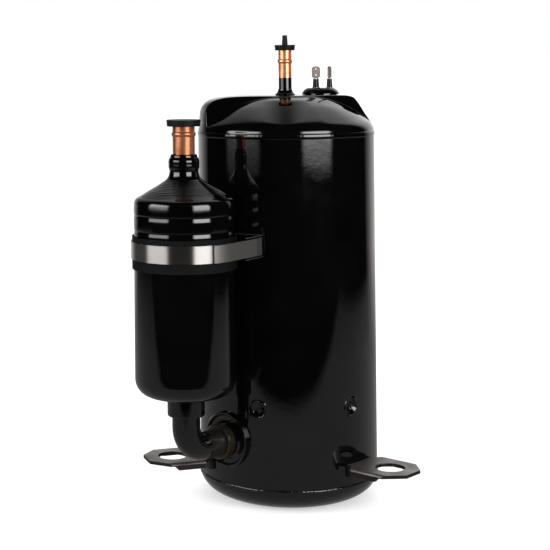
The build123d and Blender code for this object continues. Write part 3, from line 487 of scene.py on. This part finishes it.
def cut_opening(cap):
    """Cuts the opening under the terminal through the cap."""
    sides = 96
    turns = [2 * math.pi * i / sides for i in range(sides)]
    points = [(TERMINAL.x + OPENING * math.cos(t), TERMINAL.y + OPENING * math.sin(t), z)
              for z in (0.28, 0.32) for t in turns]
    ends = [tuple(range(sides - 1, -1, -1)), tuple(range(sides, 2 * sides))]
    walls = [(i, (i + 1) % sides, sides + (i + 1) % sides, sides + i) for i in range(sides)]
    tool = bpy.data.meshes.new("terminal_opening")
    tool.from_pydata(points, [], ends + walls)
    cutter = bpy.data.objects.new("terminal_opening", tool)
    scene.collection.objects.link(cutter)
    cut = cap.modifiers.new("opening", "BOOLEAN")
    cut.operation, cut.object, cut.solver = "DIFFERENCE", cutter, "EXACT"
    bpy.context.view_layer.update()
    graph = bpy.context.evaluated_depsgraph_get()
    cap.data = bpy.data.meshes.new_from_object(cap.evaluated_get(graph))
    cap.modifiers.clear()
    bpy.data.objects.remove(cutter)


def top_cap():
    rings = np.unique(np.concatenate([
        np.linspace(HOLE / MM, 24, 16), np.linspace(24, 40, 30), np.linspace(40, 66, 50),
        np.linspace(66, RADIUS / MM - 0.02, 14)]))
    steps = 720
    a = np.arange(steps) * 2 * math.pi / steps

    def ring(r, z):
        return np.stack([r * np.cos(a), r * np.sin(a), np.broadcast_to(z, steps)], 1)

    # outer face, down the skirt that nests in the shell, back up the inside
    points = [ring(r, cap_height(r * np.cos(a), r * np.sin(a))) for r in rings]
    points += [ring(RADIUS / MM, 280.0), ring(RADIUS / MM, SEAM / MM), ring(SKIRT, SEAM / MM),
               ring(SKIRT, cap_low.z / MM), ring(INSIDE, cap_low.z / MM)]
    for r in rings[::-1]:
        # heights from a little further out keep the wall thick where the face is steep
        z = np.minimum(cap_height(r * np.cos(a) * 1.045, r * np.sin(a) * 1.045), PLATEAU) - WALL
        if r > 60.0:
            # under the rounded rim the inside slopes down evenly
            z = np.minimum(z, 281.0 + (66.0 - r) * 1.2)
        points.append(ring(max(min(r, INSIDE), HOLE / MM), np.maximum(z, 276.0)))
    points = np.concatenate(points) * MM
    count = len(points) // steps
    faces = [(((j + 1) % count) * steps + i, ((j + 1) % count) * steps + (i + 1) % steps,
              j * steps + (i + 1) % steps, j * steps + i) for j in range(count) for i in range(steps)]
    cut_opening(build("cap_skin", points, faces, paint, stands_for=["top_cap"], slot="black_paint"))


top_cap()

# ---- accumulator shell with its spun shoulder ---------------------------------------
acc_low, acc_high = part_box("accumulator_shell")
ACCUMULATOR = (acc_low + acc_high) / 2
# mm: radius of the wall, radius of the flat base, its height, and the corner's radius and centre height
SIDE, FLAT, BASE, CORNER, BEND = 37.05, 24.55, 92.5, 12.5, 105.0
shoulder = smooth_line([(SIDE, 226.0), (37.04, 228.5), (36.95, 231.0), (36.7, 233.2), (35.9, 235.2),
                        (34.4, 236.5), (32.6, 237.4), (29.3, 239.4), (25.8, 241.6), (18.3, 246.0),
                        (12.4, 250.3), (10.75, 254.5), (10.72, 256.6)], 0.25)


def spun(r):
    """Tool rings left on the shoulder by spinning."""
    fade = min(max((33.5 - r) / 6, 0), 1) * min(max((r - 11.5) / 3, 0), 1)
    along = 37.0 - r
    return 0.09 * fade * math.sin(along * 4.1 + 0.8 * math.sin(along * 0.9))


outer = [(r, BASE) for r in (10.3, 14, 18, 22, FLAT)]
outer += [(FLAT + CORNER * math.sin(t), BEND - CORNER * math.cos(t))
          for t in np.linspace(0.08, math.pi / 2, 20)]
outer += [(SIDE, z) for z in np.linspace(110, 210, 12)]
for lip in (214.2, 225.4):
    # each rolled groove leans back gently from below and ends in a sharp lip above
    outer += smooth_line([(SIDE, lip - 3.9), (36.99, lip - 3.2), (36.78, lip - 2.0), (36.68, lip - 1.2),
                          (36.72, lip - 0.5), (36.98, lip - 0.1), (SIDE, lip + 0.2)], 0.15)
outer += [(r, z + spun(r)) for r, z in shoulder[1:]]
outer += smooth_line([(10.72, 256.7), (11.0, 257.4), (11.32, 258.6), (11.34, 261), (11.3, 263.4),
                      (10.7, 264.9), (10.0, 265.8), (9.75, 267.2), (9.3, 267.9)], 0.2)[1:]
inner = [(8.15, 268.0), (8.15, 243.0), (16.0, 242.8), (24.4, 239.0), (31.0, 234.6), (34.4, 231.0),
         (35.4, 227.0), (34.6, 224.4), (34.6, 222.8), (35.5, 220.4), (35.5, 215.4), (34.6, 213.4),
         (34.6, 211.4), (35.5, 209.0), (35.5, BEND)]
inner += [(FLAT + 11 * math.cos(t), BEND - 11 * math.sin(t)) for t in np.linspace(0.1, math.pi / 2, 12)]
inner += [(10.3, 94.0)]
turned("accumulator_skin", [(r * MM, z * MM) for r, z in outer + inner], ACCUMULATOR, paint, 288,
       stands_for=["accumulator_shell"], slot="black_paint")


# ---- weld beads and plug welds -------------------------------------------------------
def bead(name, node, rise, half, seed, lumps=0.25, material=paint):
    """Rounded seam bead on the shell, lumpy around its run."""
    low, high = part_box(node)
    middle = (low.z + high.z) / 2
    root, skin = RADIUS - 0.0012, RADIUS + 0.00001
    profile = [(root, middle + half), (skin, middle + half)]
    profile += [(RADIUS + rise * math.cos(t), middle + half * math.sin(t))
                for t in np.linspace(1.3, -1.3, 11)]
    profile += [(skin, middle - half), (root, middle - half)]

    def uneven(r, z, a):
        c, s = math.cos(a), math.sin(a)
        broad = noise.noise(Vector((c * 9, s * 9, seed)))
        fine = noise.noise(Vector((c * 40, s * 40, seed + 3)))
        wobble = broad * 0.6 + fine * 0.4
        if r > RADIUS + 0.00002:
            r = RADIUS + (r - RADIUS) * (1 + lumps * wobble)
        return r, z + half * 0.12 * wobble

    turned(name, profile, (0, 0), material, 1440, uneven, stands_for=[node], slot="black_paint")


bead("top_bead", "top_seam_weld", 0.00045, 0.0019, 1.7)
bead("bottom_bead", "bottom_seam_weld", 0.0006, 0.0014, 4.2, 0.8, painted("dusty_paint", 0.16).material)


def plug_weld_caps():
    """Sunken puddles with an uneven raised rim, one in each hole of the shell."""
    spots = np.array([v.co for v in cad["plug_welds"].data.vertices])
    turn = np.sort(np.arctan2(spots[:, 1], spots[:, 0]))
    cuts = np.flatnonzero(np.diff(turn) > 0.5) + 1
    middles = [(g[0] + g[-1]) / 2 for g in np.split(turn, cuts)]
    low, high = spots[:, 2].min(), spots[:, 2].max()
    middle, size = (low + high) / 2, (high - low) / 2
    # (share of the hole's radius, height in mm over the shell), from the middle out and back underneath
    profile = [(0.0, -1.9), (0.2, -1.85), (0.4, -1.6), (0.56, -1.15), (0.7, -0.5), (0.84, 0.1), (0.96, 0.4),
               (1.08, 0.45), (1.2, 0.25), (1.32, -0.1), (1.32, -1.2), (0.9, -2.6), (0.0, -2.6)]
    uneven = 9                                         # rows of the puddle and its rim, which are lumpy
    steps = 96
    points, faces = [], []
    for seed, az in enumerate(middles):
        start = len(points)
        for j, (k, h) in enumerate(profile):
            for i in range(steps):
                t = 2 * math.pi * i / steps
                c, s = math.cos(t), math.sin(t)
                wobble = noise.noise(Vector((c * 1.3, s * 1.3, 3.1 * seed + 0.6 * k)))
                fine = noise.noise(Vector((c * 4 * k, s * 4 * k, 7.7 * seed)))
                r = k * size * (1 + 0.16 * wobble)
                lift = (h + (0.7 * wobble + 0.12 * fine) * (j < uneven)) * MM
                a = az + r * c / RADIUS
                points.append(((RADIUS + lift) * math.cos(a), (RADIUS + lift) * math.sin(a), middle + r * s))
        for j in range(len(profile) - 1):
            for i in range(steps):
                p, q = start + j * steps + i, start + j * steps + (i + 1) % steps
                faces.append((p, q, q + steps, p + steps))
    mesh = build("plug_weld_caps", points, faces, paint, stands_for=["plug_welds"], slot="black_paint")
    weld = mesh.modifiers.new("weld", "WELD")
    weld.merge_threshold = 2e-6


plug_weld_caps()


# ---- stage -----------------------------------------------------------------------
def floor_material():
    """Pale paper for the camera; in mirror reflections a table that runs back into the backdrop."""
    s = Shade("pale_floor")
    base = s.mix(s.noise(6, 3), (0.93, 0.93, 0.925), (0.91, 0.91, 0.91))
    s.set(Base_Color=base, Roughness=0.9, Specular_IOR_Level=0.1)
    x, y, _ = s.split(s.where)
    reach = s.length(x, y)
    # dim near the machine, dark in front of it and far to the right, bright far behind it
    near = s.math("MULTIPLY", s.ramp(y, -0.43, -0.36), s.ramp(x, 1.05, 0.85))
    far = s.ramp(s.math("DIVIDE", y, reach), 0.52, 0.8, 0.0, 0.85)
    share = s.ramp(reach, 0.6, 1.5)
    near = s.math("MULTIPLY", s.math("MULTIPLY", near, 0.33), s.math("SUBTRACT", 1.0, share))
    level = s.math("ADD", near, s.math("MULTIPLY", far, share))
    glow = s.add("ShaderNodeEmission", Color=(1.0, 0.965, 0.95), Strength=level)
    lift = s.add("ShaderNodeEmission", Strength=1.0)
    paper = s.blend(0.45, s.bsdf.outputs[0], lift.outputs[0])
    path = s.add("ShaderNodeLightPath")
    return s.show(s.blend(path.outputs["Is Glossy Ray"], paper, glow.outputs[0]))


FLOOR = 200                                                  # half its width
ground = bpy.data.meshes.new("floor")
ground.from_pydata([(-FLOOR, -FLOOR, 0), (FLOOR, -FLOOR, 0), (FLOOR, FLOOR, 0), (-FLOOR, FLOOR, 0)], [],
                   [(0, 1, 2, 3)])
floor = bpy.data.objects.new("floor", ground)
scene.collection.objects.link(floor)
floor.location.z = -0.0002
floor.data.materials.append(floor_material())


def studio():
    """World that is white to the camera, soft light on matt faces, and a draped room in reflections."""
    world = bpy.data.worlds.new("studio")
    scene.world = world
    world.use_nodes = True
    world.cycles.sampling_method = "NONE"
    s = Tree(world.node_tree)
    s.tree.nodes.clear()
    x, y, z = s.split(s.add("ShaderNodeTexCoord").outputs["Generated"])
    behind = s.math("DIVIDE", y, s.math("ADD", s.length(x, y), 0.0001))
    behind = s.ramp(behind, 0.52, 0.8, 0.0, 0.9, "SMOOTHSTEP")
    # pale cloth behind, dimmer to the left; overhead it parts over a dark gap in the middle
    cloth = s.math("MULTIPLY", s.ramp(x, -0.3, 0.25, 0.8, 1.35, "SMOOTHSTEP"),
                   s.ramp(x, -0.8, -0.5, 0.2, 1.0, "SMOOTHSTEP"))
    over = s.ramp(s.math("ABSOLUTE", x), 0.0, 0.18, 0.22, 0.95, "SMOOTHSTEP")
    high = s.ramp(z, 0.45, 0.68, shape="SMOOTHSTEP")
    cloth = s.math("MULTIPLY", cloth, s.math("SUBTRACT", 1.0, high))
    level = s.math("ADD", cloth, s.math("MULTIPLY", over, high))
    # the upper left corner is darker still
    corner = s.math("MULTIPLY", s.ramp(z, 0.08, 0.3, shape="SMOOTHSTEP"),
                    s.ramp(x, -0.15, -0.4, shape="SMOOTHSTEP"))
    corner = s.math("SUBTRACT", 1.0, s.math("MULTIPLY", corner, 0.6))
    backdrop = s.math("MULTIPLY", s.math("MULTIPLY", behind, level), corner)
    room, mirror, soft = (s.add("ShaderNodeBackground", Color=(1, 1, 1, 1), Strength=strength).outputs[0]
                          for strength in (1.0, s.math("ADD", backdrop, 0.002), 1.6))
    path = s.add("ShaderNodeLightPath")
    glossy = s.blend(path.outputs["Is Glossy Ray"], soft, mirror)
    total = s.blend(path.outputs["Is Camera Ray"], glossy, room)
    s.put(s.add("ShaderNodeOutputWorld").inputs[0], total)


studio()


def softbox(name, near, far, low, top, strength, foot):
    """Upright area light between two plan points. foot lists (height, radiance) for its dim lower edge."""
    a, b = Vector((*near, 0)), Vector((*far, 0))
    middle, along = (a + b) / 2, (b - a).normalized()
    data = bpy.data.lights.new(name, "AREA")
    data.shape = "RECTANGLE"
    data.size, data.size_y = (b - a).length, top - low
    data.use_nodes = True
    data.energy = 1.0
    s = Tree(data.node_tree)
    position = s.add("ShaderNodeNewGeometry").outputs["Position"]
    rows = s.add("ShaderNodeValToRGB", Fac=s.ramp(s.split(position)[2], low, top))
    stops = rows.color_ramp.elements
    stops[0].position, stops[0].color = 0.0, (0, 0, 0, 1)
    stops[1].position, stops[1].color = 1.0, (0.1, 0.1, 0.1, 1)
    for height, radiance in foot + [(low + 0.6 * (top - low), strength)]:
        stop = stops.new((height - low) / (top - low))
        stop.color = (radiance / strength,) * 3 + (1,)
    # radiance fades towards the sides of the diffuser
    place = s.add("ShaderNodeVectorMath", operation="DOT_PRODUCT")
    s.put(place.inputs[0], position)
    s.put(place.inputs[1], along)
    away = s.math("ABSOLUTE", s.math("SUBTRACT", place.outputs["Value"], middle.dot(along)))
    fade = s.ramp(away, data.size * 0.33, data.size * 0.5, 1.0, 0.0, "SMOOTHSTEP")
    # with this factor strength is the light's radiance
    factor = strength * data.size * data.size_y * math.pi
    level = s.math("MULTIPLY", s.math("MULTIPLY", rows.outputs["Color"], fade), factor)
    s.put(s.tree.nodes["Emission"].inputs["Strength"], level)
    obj = bpy.data.objects.new(name, data)
    scene.collection.objects.link(obj)
    obj.location = (middle.x, middle.y, (low + top) / 2)
    obj.rotation_euler = Vector((-middle.x, -middle.y, 0)).to_track_quat("-Z", "Y").to_euler()
    obj.visible_camera = False


def bearing(azimuth):
    """Plan point two metres off, at an azimuth from the front in degrees."""
    t = math.radians(azimuth)
    return 2.0 * math.sin(t), -2.0 * math.cos(t)


softbox("key_right", bearing(18), bearing(63), 0.08, 1.35, 11.0,
        [(0.095, 0.0), (0.122, 0.9), (0.165, 3.0), (0.27, 9.0)])
softbox("key_left", bearing(-84), bearing(-30), 0.08, 1.3, 9.0,
        [(0.095, 0.0), (0.122, 0.3), (0.165, 0.6), (0.24, 2.2), (0.28, 4.2), (0.5, 5.0)])

# ---- camera ------------------------------------------------------------------------
YAW, ROLL = math.radians(4.9), -0.0095
SENSOR = 36                                                  # width, mm
WIDTHS = 2.62254545                                          # focal length in picture widths at no yaw
FOCAL = WIDTHS * SENSOR * math.cos(YAW) ** 0.8
eye = bpy.data.cameras.new("camera")
eye.sensor_width, eye.lens, eye.sensor_fit = SENSOR, FOCAL, "HORIZONTAL"
camera = bpy.data.objects.new("camera", eye)
scene.collection.objects.link(camera)
scene.camera = camera
camera.location = (0.0, -1.130, 0.3373)
level = Matrix.Rotation(YAW, 3, "Z") @ Matrix.Rotation(math.radians(90), 3, "X")
camera.rotation_euler = (level @ Matrix.Rotation(ROLL, 3, "Z")).to_euler()
# the lens is shifted for this view alone
for channel, value in (("shift_x", math.tan(YAW) * FOCAL / SENSOR - 0.0180), ("shift_y", -0.3924)):
    driver = eye.driver_add(channel).driver
    driver.type = "SCRIPTED"
    place = driver.variables.new()
    place.name, place.type = "y", "SINGLE_PROP"
    place.targets[0].id = camera
    place.targets[0].data_path = "location[1]"
    driver.expression = f"{value:.5f} if y > -1.1305 and y < -1.1295 else 0.0"
